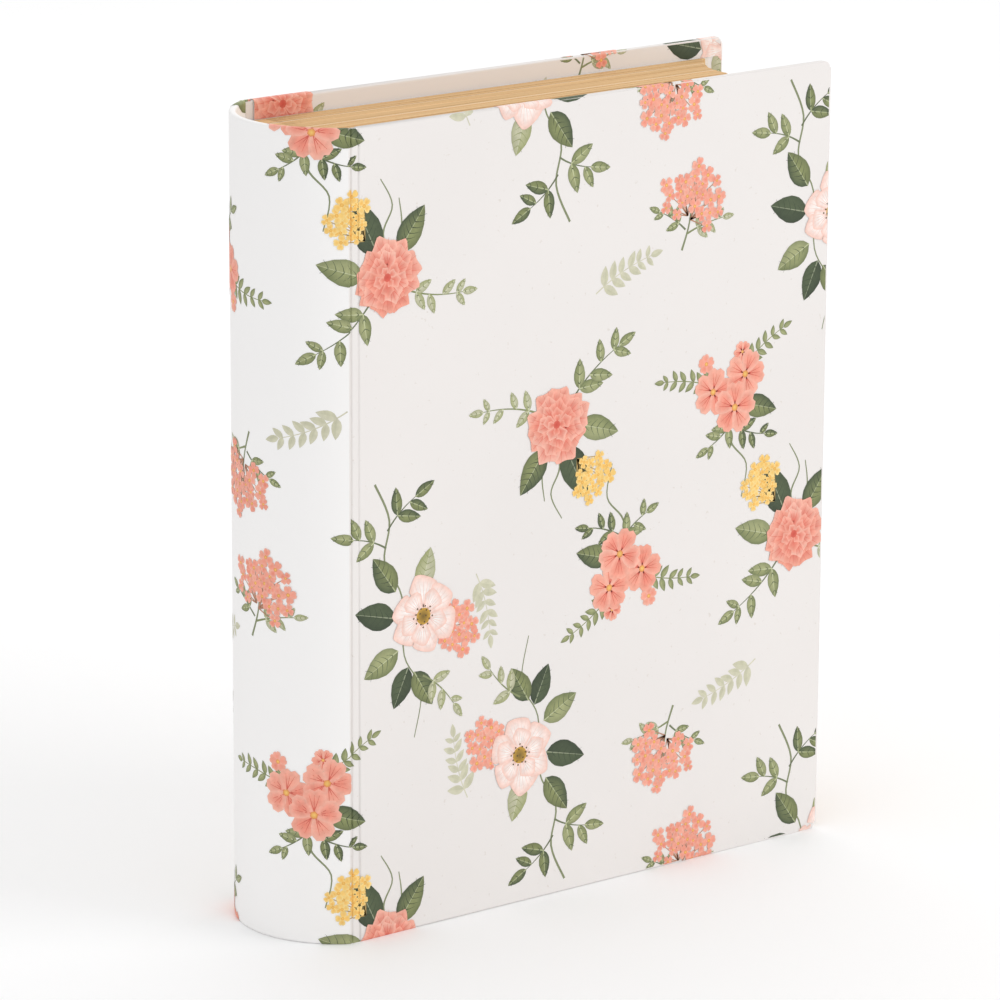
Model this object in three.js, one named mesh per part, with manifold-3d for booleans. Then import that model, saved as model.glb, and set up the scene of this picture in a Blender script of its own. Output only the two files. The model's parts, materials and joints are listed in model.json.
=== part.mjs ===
// A case-bound scrapbook album standing on its tail edge, in millimetres, +Z up.
// The spine is at -X, the fore-edge at +X, the front cover at -Y and the rear cover at +Y.
// The origin is the centre of the foot of the closed album.
import * as THREE from "three";
import { mergeVertices } from "three/addons/utils/BufferGeometryUtils.js";
import Module from "manifold-3d";

const wasm = await Module();
wasm.setup();

// ---- Driving dimensions of the closed album ----
const ALBUM_LENGTH = 250; // spine to fore-edge
const ALBUM_THICKNESS = 68; // outside of one cover to outside of the other
const ALBUM_HEIGHT = 310; // tail to head
const BOARD_LENGTH = 225; // covered board, joint to fore-edge
const SQUARE = 7.3; // how far the boards stand past the leaves at head and tail
const LEAF_LENGTH = 220.7; // back of the block to its fore-edge

// ---- Sheet and board thicknesses ----
const PAPER = 0.3; // printed covering paper
const GLUE = 0.1; // glue line between glued pieces
const BOARD = 2.2;
const SPINE_BOARD = 1.8;
const PASTEDOWN = 0.2;
const FLYLEAF = 0.2;
const LEAF = 1.3;
const DIVIDER = 0.4;
const MULL = 0.4;

// ---- The case ----
const X_FORE = ALBUM_LENGTH / 2;
const X_APEX = -ALBUM_LENGTH / 2;
const X_BOARD = X_FORE - BOARD_LENGTH; // hinge edge of the boards
const HALF = ALBUM_THICKNESS / 2;
const COVERED_BOARD = PAPER + GLUE + BOARD + GLUE + PAPER;
const CORNER_RADIUS = 2.5;
const TURN_IN = 15; // how far the covering paper folds round to the inside

// ---- The joint, a shallow groove pressed into the paper between spine and board ----
const X_RIDGE = X_BOARD - 4.8; // edge of the spine
const X_LIP = X_BOARD - 0.4; // edge of the covered board
const GROOVE_DEPTH = 1.4;
const GROOVE_START = 1.6; // ridge to the groove's flat bottom, along X
const X_HINGE = X_BOARD - 2.4; // the cover turns about this line
const HINGE_OUTSIDE = 0.2; // the fold of the joint is this far outside the cover's face

// ---- The round of the spine ----
const SPINE_RISE = X_RIDGE - X_APEX;
const SPINE_RADIUS = (HALF * HALF + SPINE_RISE * SPINE_RISE) / (2 * SPINE_RISE);
const SPINE_CENTRE = X_APEX + SPINE_RADIUS;
const SPINE_HALF_ANGLE = Math.asin(HALF / SPINE_RADIUS);
const SPINE_SEGMENTS = 28;
const COVERED_SPINE = PAPER + GLUE + SPINE_BOARD + GLUE + PAPER;

// ---- The block of leaves ----
const BLOCK_HALF = 30.1; // half the thickness of the leaves together
const BACK_RADIUS = 39.4; // round of the block's back
const X_BACK = -119.5; // middle of the block's back
const BACK_CENTRE = X_BACK + BACK_RADIUS;
const MULL_HALF_ANGLE = 0.7;
const MULL_SHORT = 13; // the mull stops this far from the ends of the block
const X_CREASE = X_BOARD + 4; // every leaf turns at this crease
const BUNDLES = [7, 8, 8, 8, 5]; // leaves in each gathering, front to rear
const LEAF_GAP = 0.3;
const LEAF_PITCH = LEAF + LEAF_GAP;
const LEAF_COUNT = BUNDLES.reduce((sum, n) => sum + n, 0);
const DIVIDER_PITCH = (2 * BLOCK_HALF - LEAF_COUNT * LEAF_PITCH) / (BUNDLES.length - 1);
const ROOT_START = 1; // the turning part of a leaf starts this far past its crease
const ROOT_END = 15; // and is full thickness from here on
const LEAF_ROOT = 0.25;
const DIVIDER_ROOT = 0.2;
const Z_TAIL = SQUARE;
const Z_HEAD = ALBUM_HEIGHT - SQUARE;

const MATERIALS = {
  print: new THREE.MeshStandardMaterial({ color: 0xf0ecea, roughness: 0.55, metalness: 0 }),
  greyboard: new THREE.MeshStandardMaterial({ color: 0x9a958c, roughness: 0.9, metalness: 0 }),
  endpaper: new THREE.MeshStandardMaterial({ color: 0xf1ece2, roughness: 0.8, metalness: 0 }),
  kraft: new THREE.MeshStandardMaterial({ color: 0xd6b082, roughness: 0.85, metalness: 0 }),
  divider: new THREE.MeshStandardMaterial({ color: 0xe6cdb4, roughness: 0.7, metalness: 0 }),
  mull: new THREE.MeshStandardMaterial({ color: 0xe8e2d4, roughness: 0.95, metalness: 0 }),
};

// ---- Helpers ----
function solidOf(geometry) {
  const bare = geometry.clone();
  bare.deleteAttribute("normal");
  bare.deleteAttribute("uv");
  const merged = mergeVertices(bare, 1e-4);
  return new wasm.Manifold(
    new wasm.Mesh({
      numProp: 3,
      vertProperties: merged.attributes.position.array,
      triVerts: new Uint32Array(merged.index.array),
    }),
  );
}

function geometryOf(solid) {
  const mesh = solid.getMesh();
  const geometry = new THREE.BufferGeometry();
  geometry.setAttribute("position", new THREE.BufferAttribute(mesh.vertProperties, 3));
  geometry.setIndex(new THREE.BufferAttribute(mesh.triVerts, 1));
  geometry.computeVertexNormals();
  return geometry;
}

// A shape drawn in XY, raised from z0 to z1.
function prism(shape, z0, z1, curveSegments = 1) {
  const geometry = new THREE.ExtrudeGeometry(shape, {
    depth: z1 - z0,
    bevelEnabled: false,
    curveSegments,
  });
  return geometry.translate(0, 0, z0);
}

// A shape drawn in XZ, given thickness from y0 to y1.
function slab(shape, y0, y1, curveSegments = 6) {
  const geometry = new THREE.ExtrudeGeometry(shape, {
    depth: y1 - y0,
    bevelEnabled: false,
    curveSegments,
  });
  return geometry.rotateX(Math.PI / 2).translate(0, y1, 0);
}

function box(x0, x1, y0, y1, z0, z1) {
  return new THREE.BoxGeometry(x1 - x0, y1 - y0, z1 - z0).translate(
    (x0 + x1) / 2,
    (y0 + y1) / 2,
    (z0 + z1) / 2,
  );
}

// A box on one side of the album: near and far are distances from the middle plane.
function sideBox(side, x0, x1, near, far, z0, z1) {
  return side < 0 ? box(x0, x1, -far, -near, z0, z1) : box(x0, x1, near, far, z0, z1);
}

function polygon(points) {
  return new THREE.Shape(points.map(([x, y]) => new THREE.Vector2(x, y)));
}

// The same outline on either side of the middle plane, always drawn anticlockwise.
function sidePolygon(side, points) {
  const placed = points.map(([x, y]) => [x, side * y]);
  const shape = polygon(placed);
  return THREE.ShapeUtils.isClockWise(shape.getPoints()) ? polygon(placed.reverse()) : shape;
}

// A rectangle in XZ whose two corners at the fore-edge are rounded.
function coverOutline(x0, x1, z0, z1, radius) {
  const shape = new THREE.Shape();
  shape.moveTo(x0, z0);
  shape.lineTo(x1 - radius, z0);
  shape.absarc(x1 - radius, z0 + radius, radius, -Math.PI / 2, 0);
  shape.lineTo(x1, z1 - radius);
  shape.absarc(x1 - radius, z1 - radius, radius, 0, Math.PI / 2);
  shape.lineTo(x0, z1);
  return shape;
}

// A curved band open to +X, between two radii.
function band(centre, inner, outer, halfAngle, z0, z1) {
  const shape = new THREE.Shape();
  shape.absarc(centre, 0, outer, Math.PI - halfAngle, Math.PI + halfAngle);
  shape.absarc(centre, 0, inner, Math.PI + halfAngle, Math.PI - halfAngle, true);
  return prism(shape, z0, z1, SPINE_SEGMENTS);
}

// X of the block's back, a height y from the middle plane.
function backAt(y) {
  return BACK_CENTRE - Math.sqrt(BACK_RADIUS * BACK_RADIUS - y * y);
}

const album = new THREE.Group();
const spine = new THREE.Group();
const frontCover = new THREE.Group();
const rearCover = new THREE.Group();
const block = new THREE.Group();
album.add(spine, frontCover, rearCover, block);

function add(group, name, material, geometry) {
  const mesh = new THREE.Mesh(geometry, MATERIALS[material]);
  mesh.name = name;
  group.add(mesh);
}

// ---- A cover: board, printed paper turned in round it, and the pastedown ----
function coverPaper(side) {
  const inner = HALF - COVERED_BOARD;
  const whole = coverOutline(X_LIP, X_FORE, 0, ALBUM_HEIGHT, CORNER_RADIUS);
  const pocket = coverOutline(
    X_LIP - 1,
    X_FORE - PAPER,
    PAPER,
    ALBUM_HEIGHT - PAPER,
    CORNER_RADIUS - PAPER,
  );
  const wrapped = side < 0 ? [-HALF, -inner] : [inner, HALF];
  const hollow = side < 0 ? [-HALF + PAPER, -inner - PAPER] : [inner + PAPER, HALF - PAPER];
  const window = sideBox(
    side,
    X_LIP - 1,
    X_FORE - TURN_IN,
    inner - 1,
    inner + PAPER + GLUE,
    TURN_IN,
    ALBUM_HEIGHT - TURN_IN,
  );
  // The lip slopes from the board's face down into the joint.
  const slope = new THREE.Vector2(GROOVE_START, GROOVE_DEPTH).normalize().multiplyScalar(PAPER);
  const lip = sidePolygon(side, [
    [X_LIP, HALF],
    [X_LIP - GROOVE_START, HALF - GROOVE_DEPTH],
    [X_LIP - GROOVE_START + slope.y, HALF - GROOVE_DEPTH - slope.x],
    [X_LIP + slope.y, HALF - slope.x],
  ]);
  return geometryOf(
    solidOf(slab(whole, ...wrapped))
      .subtract(solidOf(slab(pocket, ...hollow)))
      .subtract(solidOf(window))
      .add(solidOf(prism(lip, 0, ALBUM_HEIGHT))),
  );
}

function coverBoard(side) {
  const near = HALF - PAPER - GLUE - BOARD;
  const inset = PAPER + GLUE;
  const outline = coverOutline(
    X_BOARD,
    X_FORE - inset,
    inset,
    ALBUM_HEIGHT - inset,
    CORNER_RADIUS - inset,
  );
  return side < 0 ? slab(outline, -near - BOARD, -near) : slab(outline, near, near + BOARD);
}

function pastedown(side) {
  const near = HALF - COVERED_BOARD - GLUE - PASTEDOWN;
  const margin = SQUARE + 0.2;
  return sideBox(
    side,
    X_BOARD + 1.5,
    X_FORE - margin,
    near,
    near + PASTEDOWN,
    margin,
    ALBUM_HEIGHT - margin,
  );
}

for (const [side, name, group] of [
  [-1, "front", frontCover],
  [1, "rear", rearCover],
]) {
  add(group, `${name}_cover_paper`, "print", coverPaper(side));
  add(group, `${name}_board`, "greyboard", coverBoard(side));
  add(group, `${name}_pastedown`, "endpaper", pastedown(side));
}

// ---- The spine: curved board in its printed paper, and mull on the block's back ----
function spinePaper() {
  const inner = SPINE_RADIUS - COVERED_SPINE;
  const past = SPINE_HALF_ANGLE + 0.05;
  const groove = HALF - GROOVE_DEPTH;
  const outer = SPINE_RADIUS;
  const top = ALBUM_HEIGHT - PAPER;
  const shell = band(SPINE_CENTRE, inner, outer, SPINE_HALF_ANGLE, 0, ALBUM_HEIGHT);
  const pocket = band(SPINE_CENTRE, inner + PAPER, outer - PAPER, past, PAPER, top);
  const window = band(
    SPINE_CENTRE,
    inner - 1,
    inner + PAPER + GLUE,
    past,
    TURN_IN,
    ALBUM_HEIGHT - TURN_IN,
  );
  let solid = solidOf(shell).subtract(solidOf(pocket)).subtract(solidOf(window));
  for (const side of [-1, 1]) {
    const lip = sidePolygon(side, [
      [X_RIDGE, HALF],
      [X_RIDGE + GROOVE_START, groove],
      [X_HINGE, groove],
      [X_HINGE, groove - PAPER],
      [X_RIDGE + GROOVE_START - 0.1, groove - PAPER],
      [X_RIDGE - 0.15, HALF - 0.28],
    ]);
    solid = solid.add(solidOf(prism(lip, 0, ALBUM_HEIGHT)));
  }
  return geometryOf(solid);
}

function spineBoard() {
  const outer = SPINE_RADIUS - PAPER - GLUE;
  const inset = PAPER + GLUE;
  const halfAngle = SPINE_HALF_ANGLE - 0.017;
  return band(SPINE_CENTRE, outer - SPINE_BOARD, outer, halfAngle, inset, ALBUM_HEIGHT - inset);
}

add(spine, "spine_cover_paper", "print", spinePaper());
add(spine, "spine_board", "greyboard", spineBoard());
add(
  spine,
  "spine_mull",
  "mull",
  band(
    BACK_CENTRE,
    BACK_RADIUS + GLUE,
    BACK_RADIUS + GLUE + MULL,
    MULL_HALF_ANGLE,
    Z_TAIL + MULL_SHORT,
    Z_HEAD - MULL_SHORT,
  ),
);

// ---- The block: gatherings of leaves with a pale divider sheet between them ----
function leafGeometry(y, thickness, root) {
  const fore = backAt(y) + LEAF_LENGTH;
  const start = X_CREASE + ROOT_START;
  const full = X_CREASE + ROOT_END;
  const outline = polygon([
    [start, -root / 2],
    [full, -thickness / 2],
    [fore, -thickness / 2],
    [fore, thickness / 2],
    [full, thickness / 2],
    [start, root / 2],
  ]);
  return prism(outline, Z_TAIL, Z_HEAD).translate(0, y, 0);
}

// The margins of one gathering's leaves, glued with their guard strips into a solid.
function gatheringGuard(y0, y1) {
  const steps = 6;
  const points = [
    [X_CREASE - LEAF_GAP, y1],
    ...Array.from({ length: steps + 1 }, (_, i) => {
      const y = y1 + ((y0 - y1) * i) / steps;
      return [backAt(y), y];
    }),
    [X_CREASE - LEAF_GAP, y0],
  ];
  return prism(polygon(points), Z_TAIL, Z_HEAD);
}

let y = -BLOCK_HALF;
let leafNumber = 0;
BUNDLES.forEach((leaves, bundle) => {
  if (bundle > 0) {
    const centre = y + DIVIDER_PITCH / 2;
    add(block, `divider_${bundle}`, "divider", leafGeometry(centre, DIVIDER, DIVIDER_ROOT));
    y += DIVIDER_PITCH;
  }
  const near = y + LEAF_GAP / 2;
  const far = y + leaves * LEAF_PITCH - LEAF_GAP / 2;
  add(block, `gathering_guard_${bundle + 1}`, "kraft", gatheringGuard(near, far));
  for (let i = 0; i < leaves; i += 1) {
    leafNumber += 1;
    const name = `leaf_${String(leafNumber).padStart(2, "0")}`;
    add(block, name, "kraft", leafGeometry(y + LEAF_PITCH / 2, LEAF, LEAF_ROOT));
    y += LEAF_PITCH;
  }
});

// The free halves of the two endpapers.
for (const [side, name] of [
  [-1, "front"],
  [1, "rear"],
]) {
  const centre = side * (BLOCK_HALF + 0.2 + FLYLEAF / 2);
  add(block, `${name}_flyleaf`, "endpaper", flyleafGeometry(centre));
}

function flyleafGeometry(centre) {
  const fore = backAt(BLOCK_HALF) + LEAF_LENGTH;
  return box(
    X_CREASE + ROOT_START,
    fore,
    centre - FLYLEAF / 2,
    centre + FLYLEAF / 2,
    Z_TAIL,
    Z_HEAD,
  );
}

export default album;
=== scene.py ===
"""Looks of a scrapbook album: printed case, kraft leaves, endpapers and a plain studio."""

import json
import math
import random

import bmesh
import bpy
from mathutils import Matrix, Vector


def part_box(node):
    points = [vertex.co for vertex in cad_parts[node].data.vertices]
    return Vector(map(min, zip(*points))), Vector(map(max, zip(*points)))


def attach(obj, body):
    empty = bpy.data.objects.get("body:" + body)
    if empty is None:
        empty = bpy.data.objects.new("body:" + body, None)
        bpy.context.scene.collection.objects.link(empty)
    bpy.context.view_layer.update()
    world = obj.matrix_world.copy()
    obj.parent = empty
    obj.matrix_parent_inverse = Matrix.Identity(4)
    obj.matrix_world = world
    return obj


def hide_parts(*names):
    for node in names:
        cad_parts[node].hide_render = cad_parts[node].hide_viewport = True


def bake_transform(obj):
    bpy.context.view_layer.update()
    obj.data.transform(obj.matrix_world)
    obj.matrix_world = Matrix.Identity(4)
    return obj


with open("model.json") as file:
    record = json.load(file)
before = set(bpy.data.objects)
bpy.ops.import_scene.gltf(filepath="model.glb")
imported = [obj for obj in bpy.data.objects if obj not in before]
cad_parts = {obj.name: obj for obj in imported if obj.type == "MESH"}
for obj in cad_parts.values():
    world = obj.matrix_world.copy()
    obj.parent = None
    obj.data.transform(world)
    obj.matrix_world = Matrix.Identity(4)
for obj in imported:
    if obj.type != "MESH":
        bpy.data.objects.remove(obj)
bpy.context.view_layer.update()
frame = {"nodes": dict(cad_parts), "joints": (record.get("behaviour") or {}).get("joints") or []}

bl_info = {
    "name": "Scrapbook Album",
    "version": (1, 0, 0),
    "blender": (4, 5, 0),
    "location": "View3D > Sidebar > Album",
    "description": "Builds the looks of a scrapbook album round its packed frame",
    "category": "Object",
}

MM = 0.001

# ---- Places taken from the frame ----
SPINE_LOW, SPINE_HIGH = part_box("spine_cover_paper")
BOARD_LOW, BOARD_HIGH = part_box("front_cover_paper")
HEIGHT = SPINE_HIGH.z
HALF = SPINE_HIGH.y
X_FORE = BOARD_HIGH.x
X_LIP = BOARD_LOW.x + 1.6 * MM  # edge of the covered board
X_RIDGE = X_LIP - 4.4 * MM  # edge of the spine
COVER_THICK = BOARD_HIGH.y - BOARD_LOW.y
SPINE_THICK = 2.6 * MM
SPINE_RISE = X_RIDGE - SPINE_LOW.x
SPINE_RADIUS = (HALF**2 + SPINE_RISE**2) / (2 * SPINE_RISE)
SPINE_CENTRE = SPINE_LOW.x + SPINE_RADIUS
SPINE_ANGLE = math.asin(HALF / SPINE_RADIUS)
SPINE_ARC = SPINE_RADIUS * SPINE_ANGLE
SPINE_STEPS = 56
JOINTS = {joint["child"]: joint for joint in frame["joints"]}
CREASE = JOINTS["leaf_01_sheet"]["pos_m"][0]
PITCH = JOINTS["leaf_02_sheet"]["pos_m"][1] - JOINTS["leaf_01_sheet"]["pos_m"][1]
FAN_STEP = math.radians(JOINTS["leaf_01_sheet"]["range_deg"][1] - JOINTS["leaf_02_sheet"]["range_deg"][1])
SHEETS = [
    node
    for node in sorted(frame["nodes"])
    if node.startswith(("leaf_", "divider_")) or node.endswith("_flyleaf")
]


# ---- Settings a user would change ----
class AlbumCaseSettings(bpy.types.PropertyGroup):
    paper: bpy.props.FloatVectorProperty(
        name="Paper", description="Ground colour of the printed paper",
        subtype="COLOR", default=(0.836, 0.800, 0.777), min=0, max=1,
    )
    edge_round: bpy.props.FloatProperty(
        name="Edge Round", description="Radius of the paper where it turns over a board",
        default=0.9 * MM, min=0.2 * MM, max=1.2 * MM, unit="LENGTH",
    )
    groove: bpy.props.FloatProperty(
        name="Groove", description="Depth of the groove pressed into each joint",
        default=0.6 * MM, min=0.2 * MM, max=1.4 * MM, unit="LENGTH",
    )


class AlbumBlockSettings(bpy.types.PropertyGroup):
    kraft: bpy.props.FloatVectorProperty(
        name="Kraft", description="Colour of the kraft leaves",
        subtype="COLOR", default=(0.75, 0.50, 0.26), min=0, max=1,
    )
    divider: bpy.props.FloatVectorProperty(
        name="Divider", description="Colour of the pale sheets between gatherings",
        subtype="COLOR", default=(0.80, 0.66, 0.50), min=0, max=1,
    )
    leaf_thickness: bpy.props.FloatProperty(
        name="Leaf Thickness", description="Thickness of a leaf clear of its crease",
        default=1.5 * MM, min=0.5 * MM, max=1.55 * MM, unit="LENGTH",
    )
    unevenness: bpy.props.FloatProperty(
        name="Unevenness", description="How far the leaves stand in or out at their edges",
        default=0.15 * MM, min=0, max=0.5 * MM, unit="LENGTH",
    )


class AlbumPrintSettings(bpy.types.PropertyGroup):
    tile_width: bpy.props.FloatProperty(
        name="Repeat Width", description="Width of one repeat of the print",
        default=0.198, min=0.05, max=0.4, unit="LENGTH",
    )
    tile_height: bpy.props.FloatProperty(
        name="Repeat Height", description="Height of one repeat of the print",
        default=0.258, min=0.05, max=0.4, unit="LENGTH",
    )
    drop: bpy.props.FloatProperty(
        name="Drop", description="How far each second column of repeats is shifted up",
        default=0.129, min=0, max=0.4, unit="LENGTH",
    )
    lift: bpy.props.FloatProperty(
        name="Ink Lift", description="Height of the ink above the paper",
        default=0.025 * MM, min=0.01 * MM, max=0.1 * MM, unit="LENGTH",
    )


class AlbumStageSettings(bpy.types.PropertyGroup):
    floor: bpy.props.FloatVectorProperty(
        name="Floor", description="Colour of the floor",
        subtype="COLOR", default=(0.98, 0.98, 0.98), min=0, max=1,
    )
    key_power: bpy.props.FloatProperty(
        name="Key Light", description="Power of the large soft light at the front",
        default=14, min=0, max=500, unit="POWER",
    )
    world_strength: bpy.props.FloatProperty(
        name="Surround", description="Brightness of the white surround",
        default=0.80, min=0, max=5,
    )


# ---- Materials ----
class Finish:
    """A Principled material and short ways to add nodes to it."""

    def __init__(self, name, rest=False):
        self.material = bpy.data.materials.new(name)
        self.material.use_nodes = True
        self.tree = self.material.node_tree
        self.shader = self.tree.nodes["Principled BSDF"]
        if rest:
            place = self.node("ShaderNodeAttribute")
            place.attribute_name = "rest_place"
            self.place = place.outputs["Vector"]
        else:
            self.place = self.node("ShaderNodeTexCoord").outputs["Object"]

    def node(self, kind, **values):
        made = self.tree.nodes.new(kind)
        for name, value in values.items():
            setattr(made, name, value)
        return made

    def link(self, source, target):
        self.tree.links.new(source, target)

    def noise(self, scale, detail=3.0, roughness=0.55, stretch=(1, 1, 1)):
        mapping = self.node("ShaderNodeMapping")
        mapping.inputs["Scale"].default_value = stretch
        self.link(self.place, mapping.inputs["Vector"])
        noise = self.node("ShaderNodeTexNoise")
        noise.inputs["Scale"].default_value = scale
        noise.inputs["Detail"].default_value = detail
        noise.inputs["Roughness"].default_value = roughness
        self.link(mapping.outputs["Vector"], noise.inputs["Vector"])
        return noise.outputs["Fac"]

    def ramp(self, source, *stops):
        ramp = self.node("ShaderNodeValToRGB")
        elements = ramp.color_ramp.elements
        while len(elements) < len(stops):
            elements.new(0.5)
        for element, (position, colour) in zip(elements, stops):
            element.position = position
            element.color = (*colour, 1)
        self.link(source, ramp.inputs["Fac"])
        return ramp.outputs["Color"]

    def mix(self, first, second, factor, blend="MIX"):
        mix = self.node("ShaderNodeMix", data_type="RGBA", blend_type=blend)
        for socket, value in ((mix.inputs[0], factor), (mix.inputs[6], first), (mix.inputs[7], second)):
            if isinstance(value, bpy.types.NodeSocket):
                self.link(value, socket)
            elif isinstance(value, (int, float)):
                socket.default_value = value
            else:
                socket.default_value = (*value, 1)
        return mix.outputs[2]

    def grey(self, source, low, high):
        remap = self.node("ShaderNodeMapRange")
        remap.inputs["To Min"].default_value = low
        remap.inputs["To Max"].default_value = high
        self.link(source, remap.inputs["Value"])
        return remap.outputs["Result"]

    def finish(self, colour, roughness, bump, strength, distance):
        self.link(colour, self.shader.inputs["Base Color"])
        self.link(roughness, self.shader.inputs["Roughness"])
        node = self.node("ShaderNodeBump")
        node.inputs["Strength"].default_value = strength
        node.inputs["Distance"].default_value = distance
        self.link(bump, node.inputs["Height"])
        self.link(node.outputs["Normal"], self.shader.inputs["Normal"])
        return self.material


def shade(colour, amount):
    return tuple(min(1.0, channel * amount) for channel in colour)


def printed_paper(colour, rest=False):
    made = Finish("printed_paper_bending" if rest else "printed_paper", rest)
    cloud = made.ramp(made.noise(9), (0.35, shade(colour, 0.985)), (0.7, shade(colour, 1.015)))
    specks = made.ramp(made.noise(520, 2), (0.70, (0, 0, 0)), (0.76, (1, 1, 1)))
    tinted = made.mix(cloud, (0.62, 0.55, 0.48), made.grey(specks, 0, 0.35))
    made.shader.inputs["Specular IOR Level"].default_value = 0.3
    return made.finish(
        tinted, made.grey(made.noise(300), 0.5, 0.66), made.noise(2400, 4), 0.12, 0.00005
    )


def kraft_card(colour, rest=False):
    """Stacked card: fine lines from sheet to sheet, slow streaks, and flecks of fibre."""
    made = Finish("kraft_card_bending" if rest else "kraft_card", rest)
    lines = made.ramp(
        made.noise(1, 2, 0.6, (14, 2300, 14)),
        (0.32, shade(colour, 0.86)), (0.5, colour), (0.68, shade(colour, 1.12)),
    )
    streaks = made.ramp(
        made.noise(1, 1, 0.5, (3, 230, 3)), (0.36, (0.88, 0.84, 0.78)), (0.62, (1, 1, 1))
    )
    flecks = made.ramp(made.noise(900, 3, 0.7), (0.63, (1, 1, 1)), (0.75, (0.72, 0.62, 0.5)))
    tone = made.mix(made.mix(lines, streaks, 1.0, "MULTIPLY"), flecks, 0.35, "MULTIPLY")
    made.shader.inputs["Specular IOR Level"].default_value = 0.2
    return made.finish(
        tone, made.grey(made.noise(200), 0.78, 0.92),
        made.noise(1, 3, 0.6, (500, 2600, 500)), 0.25, 0.00012,
    )


def plain_sheet(name, colour, rest=False, grain=1100, dark=0.94, light=1.04):
    made = Finish(name, rest)
    tone = made.ramp(made.noise(grain, 4), (0.3, shade(colour, dark)), (0.7, shade(colour, light)))
    made.shader.inputs["Specular IOR Level"].default_value = 0.25
    return made.finish(tone, made.grey(made.noise(250), 0.7, 0.88), made.noise(grain * 2), 0.15, 0.00006)


def greyboard(colour=(0.33, 0.31, 0.28)):
    made = Finish("greyboard")
    tone = made.ramp(
        made.noise(1, 5, 0.7, (500, 1500, 500)),
        (0.35, shade(colour, 0.75)), (0.6, colour), (0.78, shade(colour, 1.35)),
    )
    return made.finish(tone, made.grey(made.noise(160), 0.8, 0.95), made.noise(900), 0.3, 0.0001)


def mull_cloth(colour=(0.80, 0.76, 0.68)):
    """Open-weave cloth: threads up the spine crossed by threads round it."""
    made = Finish("mull")
    waves = []
    for direction in ("Z", "Y"):
        wave = made.node("ShaderNodeTexWave", bands_direction=direction)
        wave.inputs["Scale"].default_value = 260
        wave.inputs["Distortion"].default_value = 0.6
        made.link(made.place, wave.inputs["Vector"])
        waves.append(wave.outputs["Fac"])
    weave = made.node("ShaderNodeMath", operation="MAXIMUM")
    made.link(waves[0], weave.inputs[0])
    made.link(waves[1], weave.inputs[1])
    height = weave.outputs["Value"]
    tone = made.ramp(height, (0.4, shade(colour, 0.6)), (0.8, colour))
    return made.finish(tone, made.grey(height, 0.95, 0.85), height, 0.5, 0.0002)


def print_ink():
    """Painted flowers: the tint held in the mesh, washed lighter and darker like watercolour."""
    made = Finish("print_ink", rest=True)
    tint = made.node("ShaderNodeAttribute")
    tint.attribute_name = "tint"
    wash = made.ramp(made.noise(420, 4, 0.65), (0.3, (0.86, 0.86, 0.86)), (0.7, (1.1, 1.1, 1.1)))
    tone = made.mix(tint.outputs["Color"], wash, 0.8, "MULTIPLY")
    made.shader.inputs["Specular IOR Level"].default_value = 0.3
    return made.finish(tone, made.grey(made.noise(300), 0.48, 0.62), made.noise(2400, 4), 0.1, 0.00005)


# ---- Meshes ----
def new_object(name, mesh):
    made = bpy.data.objects.new(name, mesh)
    bpy.context.scene.collection.objects.link(made)
    return made


def mesh_from(build, name, smooth=False):
    mesh = bpy.data.meshes.new(name)
    build.to_mesh(mesh)
    build.free()
    mesh.polygons.foreach_set("use_smooth", [smooth] * len(mesh.polygons))
    return mesh


def keep_rest(mesh):
    """Stores where each point rests, so that a pattern stays put when the piece bends."""
    rest = mesh.attributes.new("rest_place", "FLOAT_VECTOR", "POINT")
    rest.data.foreach_set("vector", [c for v in mesh.vertices for c in v.co])


def dress(node, material):
    """Gives a CAD node another material."""
    slots = frame["nodes"][node].data.materials
    slots.clear()
    slots.append(material)


def wrap(past, thick, radius):
    """Follows paper over a board's edge. Returns how far out, how deep, and the turn so far."""
    quarter = math.pi / 2 * radius
    wall = thick - 2 * radius
    if past <= 0:
        return past, 0.0, 0.0
    if past < quarter:
        angle = past / radius
        return radius * math.sin(angle), radius * (1 - math.cos(angle)), angle
    past -= quarter
    if past < wall:
        return radius, radius + past, math.pi / 2
    past -= wall
    if past < quarter:
        angle = past / radius
        return radius * math.cos(angle), thick - radius + radius * math.sin(angle), math.pi / 2 + angle
    return -(past - quarter), thick, math.pi


def wrap_cuts(thick, radius):
    """Distances past the start of the round at which a sheet needs a line to bend on."""
    quarter = math.pi / 2 * radius
    wall = thick - 2 * radius
    first = [quarter * i / 5 for i in range(6)]
    return first + [quarter + wall + distance for distance in first]


def joint_profile(settings):
    """The paper's line across a joint: a fine ridge by the spine, a narrow groove, and a broad ridge by the board.

    Nothing stands above the face, so that the folded joint clears the line that the cover turns about."""
    steps = 60
    width = X_LIP - X_RIDGE
    points = []
    for i in range(steps + 1):
        t = i / steps
        fall = sum(
            depth * math.exp(-(((t - middle) / reach) ** 2))
            for depth, middle, reach in (
                (0.10 * MM, 0.05, 0.03), (settings.groove, 0.26, 0.075), (0.16 * MM, 0.91, 0.035),
            )
        )
        points.append(Vector((X_RIDGE + width * t, HALF - fall)))
    return points


def path_lengths(points):
    total = [0.0]
    for a, b in zip(points, points[1:]):
        total.append(total[-1] + (b - a).length)
    return total


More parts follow.
